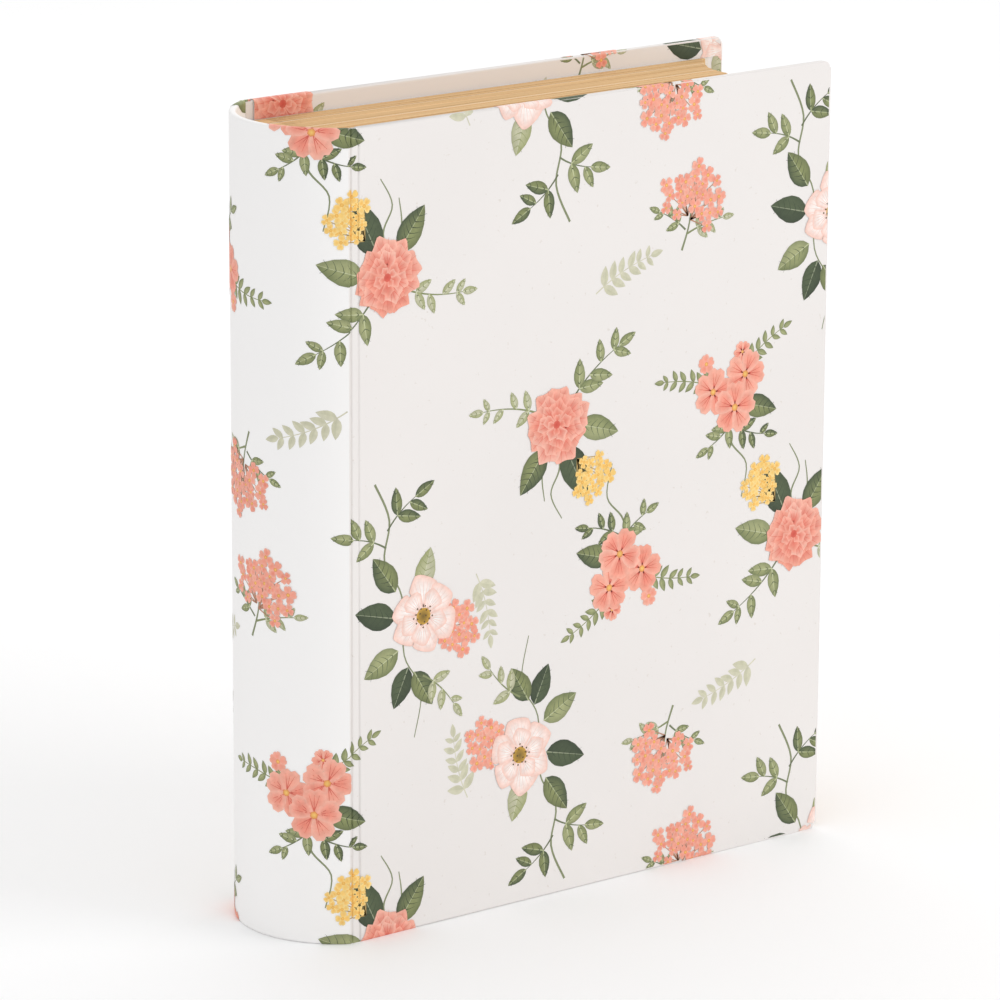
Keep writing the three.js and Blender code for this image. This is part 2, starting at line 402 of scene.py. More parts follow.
class PrintedSheet:
    """The covering paper laid flat: s runs from the middle of the spine to the fore-edge."""

    def __init__(self, case):
        self.radius = case.edge_round
        self.profile = joint_profile(case)
        self.lengths = path_lengths(self.profile)
        self.joint = self.lengths[-1]
        self.board = SPINE_ARC + self.joint
        self.width = X_FORE - X_LIP
        self.turn_in = 15 * MM

    def across(self, part, s):
        """A point on the outside at s, and its outward direction, in XY, for the front's side."""
        if part == "spine":
            angle = s / SPINE_RADIUS
            out = Vector((-math.cos(angle), -math.sin(angle)))
            return Vector((SPINE_CENTRE, 0)) + out * SPINE_RADIUS, out
        if part == "joint":
            along = min(max(s - SPINE_ARC, 0), self.joint)
            i = max(j for j in range(len(self.lengths) - 1) if self.lengths[j] <= along)
            a, b = self.profile[i], self.profile[i + 1]
            t = (along - self.lengths[i]) / (self.lengths[i + 1] - self.lengths[i])
            point = a.lerp(b, t)
            step = (b - a).normalized()
            return Vector((point.x, -point.y)), Vector((-step.y, -step.x))
        past = s - self.board - (self.width - self.radius)
        out, depth, angle = wrap(past, COVER_THICK, self.radius)
        return (
            Vector((X_FORE - self.radius + out, -HALF + depth)),
            Vector((math.sin(angle), -math.cos(angle))),
        )

    def place(self, part, side, s, z, lift):
        """Where a point of the flat sheet lies on the album, lifted off its surface."""
        point, out = self.across(part, s)
        thick = {"spine": SPINE_THICK, "joint": 0.6 * MM}.get(part, COVER_THICK)
        radius = min(self.radius, thick / 2.2)
        up = z > HEIGHT / 2
        past = z - (HEIGHT - radius) if up else radius - z
        rise, depth, angle = wrap(past, thick, radius)
        height = (HEIGHT - radius + rise) if up else (radius - rise)
        point = point - out * depth + out * lift * math.cos(angle)
        height += (lift if up else -lift) * math.sin(angle)
        if side > 0:
            return Vector((point.x, -point.y, height))
        return Vector((point.x, point.y, height))


# ---- The print: generic garden flowers, drawn flat in millimetres ----
CORAL = ((0.84, 0.235, 0.165), (0.90, 0.37, 0.27), (0.62, 0.085, 0.06), (0.94, 0.53, 0.42))
GREEN = ((0.27, 0.30, 0.125), (0.42, 0.44, 0.22), (0.095, 0.125, 0.065), (0.050, 0.068, 0.040))
PALE = ((0.66, 0.64, 0.49), (0.57, 0.56, 0.40))
YELLOW = ((0.93, 0.60, 0.17), (0.90, 0.46, 0.08))
BLUSH = ((0.95, 0.84, 0.78), (0.90, 0.62, 0.54))
STEM = (0.24, 0.27, 0.15)
LAYER = 0.0016
MOTIF_SCALE = 1.34
JOINT_PRESS = 0.4


class Drawing:
    """A flat drawing made of tinted shapes, each a hair above the one before."""

    def __init__(self, seed):
        self.random = random.Random(seed)
        self.build = bmesh.new()
        self.tint = self.build.loops.layers.float_color.new("tint")
        self.matrix = Matrix.Identity(3)
        self.level = 0.0

    def move(self, x, y, degrees, scale):
        turn = Matrix.Rotation(math.radians(degrees), 3, "Z")
        self.matrix = turn * scale
        self.offset = Vector((x, y, 0))
        self.level = 0.0

    def point(self, x, y):
        placed = self.matrix @ Vector((x, y, 0)) + self.offset
        placed.z = self.level
        return self.build.verts.new(placed)

    def face(self, corners, colours):
        made = self.build.faces.new(corners)
        for loop, colour in zip(made.loops, colours):
            loop[self.tint] = (*colour, 1)
        if made.calc_area() > 0:
            made.normal_update()
            if made.normal.z < 0:
                made.normal_flip()

    def rise(self):
        """Puts what follows above what is drawn already."""
        self.level += LAYER

    def blob(self, rim, heart, inner, outer):
        """A shape round heart, shaded from inner at its heart to outer at its rim."""
        middle = self.point(*heart)
        between = mixed(inner, outer, 0.45)
        ring = [self.point(heart[0] + (x - heart[0]) * 0.6, heart[1] + (y - heart[1]) * 0.6) for x, y in rim]
        edge = [self.point(x, y) for x, y in rim]
        for i in range(len(rim)):
            j = (i + 1) % len(rim)
            self.face((middle, ring[i], ring[j]), (inner, between, between))
            self.face((ring[i], edge[i], edge[j], ring[j]), (between, outer, outer, between))

    def stroke(self, points, wide, narrow, colour):
        """A brush stroke that thins from wide to narrow, half a layer above the shape it is drawn on."""
        self.level += LAYER / 2
        left, right = [], []
        for i, (x, y) in enumerate(points):
            ax, ay = points[max(i - 1, 0)]
            bx, by = points[min(i + 1, len(points) - 1)]
            length = math.hypot(bx - ax, by - ay) or 1
            half = (wide + (narrow - wide) * i / (len(points) - 1)) / 2
            nx, ny = -(by - ay) / length * half, (bx - ax) / length * half
            left.append(self.point(x + nx, y + ny))
            right.append(self.point(x - nx, y - ny))
        for i in range(len(points) - 1):
            self.face((right[i], right[i + 1], left[i + 1], left[i]), (colour,) * 4)
        self.level -= LAYER / 2


def mixed(a, b, t):
    return tuple(x + (y - x) * t for x, y in zip(a, b))


def turned(points, x, y, degrees, scale=1.0):
    c, s = math.cos(math.radians(degrees)), math.sin(math.radians(degrees))
    return [(x + (px * c - py * s) * scale, y + (px * s + py * c) * scale) for px, py in points]


def arc(length, bend, steps=10):
    """A line up +Y that leans over by bend."""
    return [(bend * (i / steps) ** 2, length * i / steps) for i in range(steps + 1)]


def leaf(drawing, x, y, degrees, length, width, tones, veins=5):
    """A pointed leaf with a light half, a dark half and veins."""
    drawing.rise()
    steps = 10 if veins else 6
    for sign, tone in ((1, tones[1]), (-1, tones[0])):
        edge = []
        for i in range(steps + 1):
            t = i / steps
            swell = math.sin(math.pi * t**0.8) ** 0.85 * (1 + (0.07 * math.sin(t * 31) if veins else 0))
            edge.append((sign * width / 2 * swell, length * t))
        rim = edge + [(0, length * 0.66), (0, length * 0.33)]
        heart = turned([(sign * width * 0.05, length * 0.42)], x, y, degrees)[0]
        drawing.blob(turned(rim, x, y, degrees), heart, mixed(tone, tones[1], 0.5), mixed(tone, tones[2], 0.5))
    if not veins:
        return
    drawing.rise()
    for i in range(veins):
        t = 0.16 + 0.6 * i / max(veins - 1, 1)
        reach = width * 0.38 * math.sin(math.pi * t)
        for sign in (1, -1):
            line = [(0, length * t), (sign * reach * 0.5, length * (t + 0.05)), (sign * reach, length * (t + 0.13))]
            drawing.stroke(turned(line, x, y, degrees), 0.26, 0.06, tones[2])
    rib = [(0, length * i / 4) for i in range(5)]
    drawing.stroke(turned(rib, x, y, degrees), 0.4, 0.1, mixed(tones[1], (0.8, 0.85, 0.6), 0.3))


DARK_LEAF = (GREEN[3], GREEN[2], GREEN[3])
DEEP_LEAF = (GREEN[2], GREEN[0], GREEN[3])
MID_LEAF = (GREEN[0], GREEN[1], GREEN[2])
SOFT_LEAF = (GREEN[1], PALE[1], GREEN[0])
PALE_LEAF = (PALE[0], PALE[1], PALE[0])


def branch(drawing, x, y, degrees, length, bend, pairs, size, tones, veins=3):
    """A curved stem with leaves to both sides of it and one at its tip."""
    drawing.rise()
    stem = mixed(tones[2], STEM, 0.5) if veins else tones[0]
    line = turned(arc(length, bend), x, y, degrees)
    drawing.stroke(line, 0.6 if veins else 0.4, 0.2, stem)
    for i in range(1, pairs + 1):
        t = i / (pairs + 0.4)
        root = turned([(bend * t * t, length * t)], x, y, degrees)[0]
        heading = degrees - math.degrees(math.atan2(2 * bend * t, length))
        grown = size * (1.12 - 0.45 * t) * drawing.random.uniform(0.88, 1.1)
        for sign in (1, -1):
            if veins and (i + (sign > 0)) % 3 == 0:
                continue
            leaf(drawing, *root, heading + sign * drawing.random.uniform(42, 62), grown, grown * 0.46, tones, veins)
    heading = degrees - math.degrees(math.atan2(2 * bend, length))
    leaf(drawing, *line[-1], heading, size * 0.8, size * 0.36, tones, veins)


def ruffle(radius, spread, lobes, depth, r, steps=13):
    """The rim of a frilled petal that opens upwards from its foot."""
    rim = [(0, 0)]
    phase = r.uniform(0, 6.28)
    for i in range(steps + 1):
        t = i / steps
        angle = math.radians(90 + spread / 2 - spread * t)
        reach = radius * (1 - depth * abs(math.sin(lobes * math.pi * t + phase)))
        reach *= 0.78 + 0.22 * math.sin(math.pi * t)
        rim.append((reach * math.cos(angle), reach * math.sin(angle)))
    return rim


def rose(drawing, x, y, size, tones=CORAL):
    """A full frilled flower: rings of petals, each darker at its foot."""
    r = drawing.random
    for ring, (reach, count) in enumerate(((1.0, 9), (0.82, 8), (0.63, 7), (0.45, 5), (0.28, 4))):
        start = r.uniform(0, 360)
        for i in range(count):
            lean = start + 360 * i / count + r.uniform(-9, 9)
            grown = size * reach * r.uniform(0.9, 1.06)
            inner = mixed(tones[2], tones[0], 0.25 + 0.1 * ring)
            outer = mixed(tones[3], tones[1], r.random() * 0.9)
            drawing.rise()
            drawing.blob(turned(ruffle(grown, 62, 2, 0.14, r), x, y, lean),
                         turned([(0, grown * 0.4)], x, y, lean)[0], inner, outer)
            if ring < 3:
                for fan in (-0.16, 0.02, 0.19):
                    crease = [(0, grown * 0.42), (fan * grown * 0.6, grown * 0.64), (fan * grown, grown * 0.86)]
                    drawing.stroke(turned(crease, x, y, lean), 0.3, 0.06, mixed(tones[2], tones[0], 0.55))
    drawing.rise()
    ring = [(0.1 * size * math.cos(a * 0.785), 0.1 * size * math.sin(a * 0.785)) for a in range(8)]
    drawing.blob([(x + px, y + py) for px, py in ring], (x, y), tones[2], mixed(tones[2], tones[0], 0.4))


def blossom(drawing, x, y, reach, tones=CORAL, petals=5):
    """A flat flower of notched petals, streaked from its eye."""
    r = drawing.random
    start = r.uniform(0, 360)
    rim = [(0, 0), (0.3, 0.3), (0.46, 0.62), (0.4, 0.9), (0.16, 1.02), (0, 0.92), (-0.16, 1.0), (-0.4, 0.88), (-0.46, 0.6), (-0.3, 0.3)]
    for i in range(petals):
        lean = start + 360 * i / petals + r.uniform(-7, 7)
        drawing.rise()
        drawing.blob(turned(rim, x, y, lean, reach), turned([(0, 0.5)], x, y, lean, reach)[0],
                     mixed(tones[0], tones[1], r.random()), mixed(tones[1], tones[3], r.uniform(0.2, 0.9)))
        if reach > 3:
            for fan in (-0.2, 0, 0.2):
                line = turned([(0, 0.15), (fan * 0.5, 0.45), (fan, 0.78)], x, y, lean, reach)
                drawing.stroke(line, 0.34, 0.07, mixed(tones[2], tones[0], 0.4))
    drawing.rise()
    eye = reach * (0.16 if reach > 3 else 0.24)
    ring = [(x + eye * math.cos(a * 1.05), y + eye * math.sin(a * 1.05)) for a in range(6)]
    drawing.blob(ring, (x, y), YELLOW[0], mixed(tones[2], YELLOW[1], 0.4))


def open_flower(drawing, x, y, size):
    """A large pale flower, its petals edged and streaked with pink round an ochre eye."""
    r = drawing.random
    for count, reach, start in ((6, 1.0, 0), (5, 0.74, 30)):
        for i in range(count):
            lean = start + 360 * i / count + r.uniform(-7, 7)
            grown = size * reach * r.uniform(0.92, 1.05)
            drawing.rise()
            drawing.blob(turned(ruffle(grown, 64, 1.5, 0.1, r), x, y, lean),
                         turned([(0, grown * 0.5)], x, y, lean)[0], (0.97, 0.94, 0.91), (0.92, 0.60, 0.51))
            for fan in (-0.26, -0.12, 0.02, 0.15, 0.28):
                line = [(0, grown * 0.2), (fan * grown * 0.5, grown * 0.5), (fan * grown, grown * 0.84)]
                drawing.stroke(turned(line, x, y, lean), 0.28, 0.08, BLUSH[1])
    drawing.rise()
    eye = size * 0.2
    ring = [(x + eye * math.cos(a * 0.524), y + eye * math.sin(a * 0.524)) for a in range(12)]
    drawing.blob(ring, (x, y), (0.20, 0.13, 0.03), (0.62, 0.36, 0.06))
    drawing.rise()
    for i in range(18):
        angle, reach = i * 2.4, eye * (0.35 + 1.05 * math.sqrt(i / 18))
        px, py = x + reach * math.cos(angle), y + reach * math.sin(angle)
        dot = [(px + 0.36 * math.cos(a * 1.57), py + 0.36 * math.sin(a * 1.57)) for a in range(4)]
        drawing.blob(dot, (px, py), (0.05, 0.035, 0.02), (0.16, 0.10, 0.03))


def florets(drawing, x, y, degrees, count, spread, tones, size=2.3):
    """A loose head of tiny flowers, each on its own thread of stem."""
    r = drawing.random
    places = []
    for i in range(count):
        angle, reach = i * 2.4, spread * math.sqrt((i + 0.4) / count)
        places.append(turned([(reach * math.cos(angle), spread * 1.1 + reach * math.sin(angle) * 0.8)], x, y, degrees)[0])
    drawing.rise()
    for px, py in places:
        drawing.stroke([(x, y), (x + (px - x) * 0.45, y + (py - y) * 0.55), (px, py)], 0.36, 0.22, mixed(tones[0], STEM, 0.55))
    for px, py in places:
        blossom(drawing, px, py, size * r.uniform(0.8, 1.2), tones, 4)


def trailing(drawing, points):
    """A long thin stem that wanders through points."""
    smooth = []
    for i in range(len(points) - 1):
        p0, p1, p2, p3 = (points[max(0, min(len(points) - 1, i + k))] for k in (-1, 0, 1, 2))
        for step in range(6):
            t = step / 6
            smooth.append(tuple(
                0.5 * (2 * b + (c - a) * t + (2 * a - 5 * b + 4 * c - d) * t * t + (3 * b - a - 3 * c + d) * t**3)
                for a, b, c, d in zip(p0, p1, p2, p3)
            ))
    drawing.rise()
    drawing.stroke(smooth + [points[-1]], 0.75, 0.3, STEM)


def rose_bouquet(drawing):
    """A frilled rose with dark leaves below, a leafy branch above and a yellow head beside it."""
    trailing(drawing, ((-1, -3), (3, -12), (1, -20), (6, -27)))
    trailing(drawing, ((1, -4), (-3, -13), (-1, -22)))
    branch(drawing, 4, 6, -30, 22, 5, 4, 8.5, MID_LEAF)
    branch(drawing, -6, 3, 74, 20, -5, 4, 6.5, SOFT_LEAF)
    leaf(drawing, 4, -6, 214, 18, 9.5, DARK_LEAF, 6)
    leaf(drawing, -3, -7, 152, 15, 8, DEEP_LEAF, 6)
    leaf(drawing, 8, 0, 262, 15, 7.5, MID_LEAF, 5)
    florets(drawing, 9, -10, 232, 17, 7.5, (YELLOW[1], YELLOW[0], (0.72, 0.30, 0.02), (0.99, 0.78, 0.35)), 2.0)
    rose(drawing, 0, 0, 12.5)


def meadow_bouquet(drawing):
    """A large pale flower on a long stem with leaves up it and a coral head beside it."""
    trailing(drawing, ((-9, 46), (-5, 34), (-8, 22), (-3, 10), (-4, -8), (1, -20), (-3, -34)))
    branch(drawing, -6, 31, -42, 13, 3, 2, 10, DEEP_LEAF)
    branch(drawing, -7, 26, 50, 12, -3, 2, 9.5, MID_LEAF)
    for x, y, degrees, size, tones in (
        (-6, 4, 70, 15, DARK_LEAF), (-5, 12, 30, 14, DEEP_LEAF), (-6, -6, 112, 14, MID_LEAF),
        (-3, -12, 150, 13, DARK_LEAF), (-1, -14, 205, 13, DEEP_LEAF), (4, 10, -22, 13, SOFT_LEAF),
    ):
        leaf(drawing, x, y, degrees, size, size * 0.56, tones, 5)
    branch(drawing, 2, -16, 236, 15, 4, 3, 7, SOFT_LEAF)
    florets(drawing, 8, -4, 258, 13, 8, CORAL, 2.4)
    open_flower(drawing, 4, 2, 13)


def blossom_bouquet(drawing):
    """Four open flowers with feathery sprays to both sides."""
    trailing(drawing, ((0, -4), (-3, -14), (1, -23), (-3, -32)))
    branch(drawing, 4, 4, -58, 20, 4, 6, 4.6, MID_LEAF, 0)
    branch(drawing, -4, 3, 52, 20, -4, 6, 4.6, MID_LEAF, 0)
    branch(drawing, 0, -8, 128, 12, 3, 3, 6.5, MID_LEAF)
    branch(drawing, -1, -10, 222, 12, -3, 3, 6.5, DEEP_LEAF)
    leaf(drawing, 4, -5, 240, 13, 7, DEEP_LEAF, 5)
    for x, y, reach in ((7, 10, 3.2), (-6.5, 11.5, 2.9), (-6, 2.5, 7), (6.5, 3.2, 7.2), (0.6, -5, 7.6)):
        blossom(drawing, x, y, reach)


def floret_spray(drawing):
    """A loose coral spray with small leaves."""
    trailing(drawing, ((0, -12), (1, -4), (0, 5)))
    branch(drawing, 0, -6, 58, 11, -2, 3, 5.5, MID_LEAF)
    branch(drawing, 1, -7, -56, 13, 2, 3, 5.5, SOFT_LEAF)
    for x, y, degrees, count, spread in ((0, -2, 44, 8, 7), (1, 0, -6, 9, 7), (1, -3, -58, 8, 6.5)):
        florets(drawing, x, y, degrees, count, spread, CORAL, 2.2)


def pale_sprig(drawing):
    """A faint feathery branch."""
    branch(drawing, 0, -11, 8, 21, 4, 6, 5.8, PALE_LEAF, 0)


MOTIFS = {
    "rose_bouquet": rose_bouquet,
    "meadow_bouquet": meadow_bouquet,
    "blossom_bouquet": blossom_bouquet,
    "floret_spray": floret_spray,
    "pale_sprig": pale_sprig,
}

# Half of one repeat: what stands where, as shares of the repeat's width and height, with its
# turn in degrees and its scale. The other half is the same, turned half round.
HALF_REPEAT = (
    ("pale_sprig", 0.36, 0.33, -64, 1.0),
    ("pale_sprig", 0.97, 0.13, 18, 0.9),
    ("floret_spray", 0.52, 0.41, -12, 1.0),
    ("blossom_bouquet", 0.63, 0.12, 14, 1.0),
    ("rose_bouquet", 0.20, 0.12, -8, 1.0),
    ("meadow_bouquet", 0.86, 0.36, 6, 0.95),
)


def repeat_mesh(width, height):
    """One repeat of the print, flat, centred on the origin, in metres."""
    drawing = Drawing(11)
    for name, x, y, degrees, scale in HALF_REPEAT:
        for turn in (0, 180):
            sign = -1 if turn else 1
            drawing.move(
                sign * (x - 0.5) * width / MM, sign * (y - 0.5) * height / MM, degrees + turn, scale * MOTIF_SCALE
            )
            MOTIFS[name](drawing)
    bmesh.ops.scale(drawing.build, vec=(MM, MM, MM), verts=drawing.build.verts)
    return mesh_from(drawing.build, "print_repeat")


def repeat_tree(material):
    """Geometry nodes that set the repeat out in columns, each second one dropped."""
    tree = bpy.data.node_groups.new("half_drop_repeat", "GeometryNodeTree")
    face = tree.interface
    face.new_socket("Geometry", in_out="INPUT", socket_type="NodeSocketGeometry")
    for name, kind in (
        ("Repeat Width", "NodeSocketFloat"), ("Repeat Height", "NodeSocketFloat"), ("Drop", "NodeSocketFloat"),
        ("Columns", "NodeSocketInt"), ("Rows", "NodeSocketInt"),
    ):
        face.new_socket(name, in_out="INPUT", socket_type=kind)
    face.new_socket("Geometry", in_out="OUTPUT", socket_type="NodeSocketGeometry")

    def node(kind, **values):
        made = tree.nodes.new(kind)
        for key, value in values.items():
            setattr(made, key, value)
        return made

    def maths(operation, first, second):
        made = node("ShaderNodeMath", operation=operation)
        for socket, value in zip(made.inputs, (first, second)):
            if isinstance(value, bpy.types.NodeSocket):
                tree.links.new(value, socket)
            else:
                socket.default_value = value
        return made.outputs[0]

    given = node("NodeGroupInput").outputs
    grid = node("GeometryNodeMeshGrid")
    tree.links.new(given["Columns"], grid.inputs["Vertices X"])
    tree.links.new(given["Rows"], grid.inputs["Vertices Y"])
    tree.links.new(maths("MULTIPLY", given["Repeat Width"], maths("SUBTRACT", given["Columns"], 1)), grid.inputs["Size X"])
    tree.links.new(maths("MULTIPLY", given["Repeat Height"], maths("SUBTRACT", given["Rows"], 1)), grid.inputs["Size Y"])
    place = node("ShaderNodeSeparateXYZ")
    tree.links.new(node("GeometryNodeInputPosition").outputs[0], place.inputs[0])
    column = maths("ROUND", maths("DIVIDE", place.outputs["X"], given["Repeat Width"]), 0)
    odd = maths("FLOORED_MODULO", column, 2)
    offset = node("ShaderNodeCombineXYZ")
    tree.links.new(maths("MULTIPLY", odd, given["Drop"]), offset.inputs["Y"])
    shift = node("GeometryNodeSetPosition")
    tree.links.new(grid.outputs["Mesh"], shift.inputs["Geometry"])
    tree.links.new(offset.outputs[0], shift.inputs["Offset"])
    spread = node("GeometryNodeInstanceOnPoints")
    tree.links.new(shift.outputs[0], spread.inputs["Points"])
    tree.links.new(given["Geometry"], spread.inputs["Instance"])
    whole = node("GeometryNodeRealizeInstances")
    tree.links.new(spread.outputs[0], whole.inputs[0])
    finish = node("GeometryNodeSetMaterial")
    finish.inputs["Material"].default_value = material
    tree.links.new(whole.outputs[0], finish.inputs["Geometry"])
    tree.links.new(finish.outputs[0], node("NodeGroupOutput").inputs[0])
    return tree


def printed_field(settings, material):
    """The repeat set out over the whole flat sheet, as one plain mesh."""
    tile = new_object("print_field", repeat_mesh(settings.tile_width, settings.tile_height))
    modifier = tile.modifiers.new("half_drop", "NODES")
    modifier.node_group = repeat_tree(material)
    values = {
        "Repeat Width": settings.tile_width, "Repeat Height": settings.tile_height,
        "Drop": settings.drop, "Columns": 5, "Rows": 3,
    }
    for item in modifier.node_group.interface.items_tree:
        if item.in_out == "INPUT" and item.name in values:
            modifier[item.identifier] = values[item.name]
    bpy.context.view_layer.update()
    evaluated = tile.evaluated_get(bpy.context.evaluated_depsgraph_get())
    mesh = bpy.data.meshes.new_from_object(evaluated)
    bpy.data.objects.remove(tile)
    return mesh


def cut(build, axis, at, clear=None):
    """Cuts the flat mesh on a line. clear drops what lies above it, or below it."""
    normal = Vector((1, 0, 0)) if axis == "s" else Vector((0, 1, 0))
    bmesh.ops.bisect_plane(
        build, geom=build.verts[:] + build.edges[:] + build.faces[:], dist=1e-8,
        plane_co=normal * at, plane_no=normal,
        clear_outer=clear == "above", clear_inner=clear == "below",
    )


def print_on(field, sheet, part, side, lift, material):
    """Cuts one panel's share out of the flat print and wraps it on to the album."""
    sign = -1 if side > 0 else 1
    low_s, high_s = {
        "spine": (-SPINE_ARC, SPINE_ARC),
        "joint": (SPINE_ARC, sheet.board),
        "cover": (sheet.board, sheet.board + sheet.width + COVER_THICK + 6.5 * MM),
    }[part]
    thick = {"spine": SPINE_THICK, "joint": 0.6 * MM}.get(part, COVER_THICK)
    radius = min(sheet.radius, thick / 2.2)
    reach = 1.0 * MM if part == "joint" else thick + 6.5 * MM
    build = bmesh.new()
    build.from_mesh(field)
    bmesh.ops.translate(build, vec=(0, HEIGHT / 2, 0), verts=build.verts)
    if sign < 0 and part != "spine":
        cut(build, "s", -high_s, "below")
        cut(build, "s", -low_s, "above")
    else:
        cut(build, "s", low_s, "below")
        cut(build, "s", high_s, "above")
    cut(build, "z", -reach, "below")
    cut(build, "z", HEIGHT + reach, "above")
    for distance in wrap_cuts(thick, radius):
        if distance < reach + radius:
            cut(build, "z", HEIGHT - radius + distance)
            cut(build, "z", radius - distance)
    if part == "cover":
        start = sheet.board + sheet.width - radius
        for distance in wrap_cuts(thick, radius):
            cut(build, "s", sign * (start + distance))
        corner = start - 1.8 * MM
        doomed = [
            f for f in build.faces
            if sign * f.calc_center_median().x > corner
            and not 2.7 * MM < f.calc_center_median().y < HEIGHT - 2.7 * MM
        ]
        bmesh.ops.delete(build, geom=doomed, context="FACES")
    else:
        if part == "spine":
            lines = [low_s + (high_s - low_s) * i / SPINE_STEPS for i in range(1, SPINE_STEPS)]
        else:
            lines = [sign * (SPINE_ARC + length) for length in sheet.lengths[1:-1]]
        for at in lines:
            cut(build, "s", at)
    if not build.faces:
        build.free()
        return None
    for vert in build.verts:
        s = vert.co.x if part == "spine" else sign * vert.co.x
        above = lift + vert.co.z * (JOINT_PRESS if part == "joint" else 1)
        vert.co = sheet.place(part, side if part != "spine" else -1, s, vert.co.y, above)
    name = "spine_print" if part == "spine" else f"{'rear' if side > 0 else 'front'}_{part}_print"
    mesh = mesh_from(build, name)
    mesh.materials.clear()
    mesh.materials.append(material)
    keep_rest(mesh)
    return new_object(name, mesh)


def rounded_slab(side, radius):
    """A covered board: its outline in XZ, with rounded corners and turned edges."""
    corner = 2.5 * MM
    outline = [(X_LIP, 0)]
    for cx, cz, start in (
        (X_FORE - corner, corner, -90),
        (X_FORE - corner, HEIGHT - corner, 0),
    ):
        for i in range(9):
            angle = math.radians(start + 90 * i / 8)
            outline.append((cx + corner * math.cos(angle), cz + corner * math.sin(angle)))
    outline.append((X_LIP, HEIGHT))
    near, far = side * (HALF - COVER_THICK), side * HALF
    build = bmesh.new()
    inner = [build.verts.new((x, near, z)) for x, z in outline]
    outer = [build.verts.new((x, far, z)) for x, z in outline]
    count = len(outline)
    build.faces.new(inner)
    build.faces.new(outer)
    for i in range(count):
        j = (i + 1) % count
        build.faces.new((inner[i], inner[j], outer[j], outer[i]))
    rim = [e for e in build.edges if abs(e.verts[0].co.y - e.verts[1].co.y) < 1e-9]
    bmesh.ops.bevel(
        build, geom=rim, offset=radius, offset_type="OFFSET", segments=5, profile=0.5, affect="EDGES",
        clamp_overlap=True,
    )
    flats = [f for f in build.faces if len(f.verts) > 8]
    bmesh.ops.inset_individual(build, faces=flats, thickness=0.5 * MM)
    bmesh.ops.recalc_face_normals(build, faces=build.faces[:])
    return build


def spine_shell(radius):
    """A rounded strip of covered board, bent round the spine."""
    loop = []
    for cd, cz, start in (
        (radius, radius, 180), (SPINE_THICK - radius, radius, 270),
        (SPINE_THICK - radius, HEIGHT - radius, 0), (radius, HEIGHT - radius, 90),
    ):
        for i in range(7):
            angle = math.radians(start + 90 * i / 6)
            loop.append((cd + radius * math.cos(angle), cz + radius * math.sin(angle)))
    build = bmesh.new()
    rings = []
    for i in range(SPINE_STEPS + 1):
        angle = -SPINE_ANGLE + 2 * SPINE_ANGLE * i / SPINE_STEPS
        rings.append([
            build.verts.new((
                SPINE_CENTRE - (SPINE_RADIUS - depth) * math.cos(angle),
                -(SPINE_RADIUS - depth) * math.sin(angle), z,
            ))
            for depth, z in loop
        ])
    count = len(loop)
    for a, b in zip(rings, rings[1:]):
        for i in range(count):
            j = (i + 1) % count
            build.faces.new((a[i], a[j], b[j], b[i]))
    build.faces.new(rings[0])
    build.faces.new(rings[-1])
    bmesh.ops.recalc_face_normals(build, faces=build.faces[:])
    return build


def joint_strip(side, profile, thick=0.35 * MM):
    """Paper pressed into the joint, thin enough to fold."""
    build = bmesh.new()
    rows = []
    for z in [HEIGHT * i / 12 for i in range(13)]:
        row = []
        for depth in (0, thick):
            for point in profile if depth == 0 else reversed(profile):
                row.append(build.verts.new((point.x, side * (point.y - depth), z)))
        rows.append(row)
    count = len(rows[0])
    for a, b in zip(rows, rows[1:]):
        for i in range(count):
            j = (i + 1) % count
            build.faces.new((a[i], a[j], b[j], b[i]))
    half = count // 2
    for row in (rows[0], rows[-1]):
        for i in range(half - 1):
            build.faces.new((row[i], row[i + 1], row[count - 2 - i], row[count - 1 - i]))
    bmesh.ops.recalc_face_normals(build, faces=build.faces[:])
    return build


def joint_lining(side, thick=0.25 * MM):
    """The layers of paper across the inside of a joint, level with the spine's inner face."""
    start, end = X_RIDGE + 0.9 * MM, X_LIP - 0.05 * MM
    face = HALF - SPINE_THICK
    steps = 16
    build = bmesh.new()
    rings = []
    for i in range(steps + 1):
        x = start + (end - start) * i / steps
        rings.append([build.verts.new((x, side * y, z)) for y, z in (
            (face, 0.3 * MM), (face + thick, 0.3 * MM), (face + thick, HEIGHT - 0.3 * MM), (face, HEIGHT - 0.3 * MM))])
    for a, b in zip(rings, rings[1:]):
        for i in range(4):
            j = (i + 1) % 4
            build.faces.new((a[i], a[j], b[j], b[i]))
    build.faces.new(rings[0])
    build.faces.new(rings[-1])
    bmesh.ops.recalc_face_normals(build, faces=build.faces[:])
    return build


def room_at(node, past):
    """How thick a sheet can be this far past its crease and still clear the next when turned right over."""
    angle = math.radians(JOINTS[f"{node}_sheet"]["range_deg"][1]) + FAN_STEP
    return 0.9 * (PITCH * math.cos(min(angle, math.radians(80))) + max(past, 0) * math.sin(FAN_STEP))


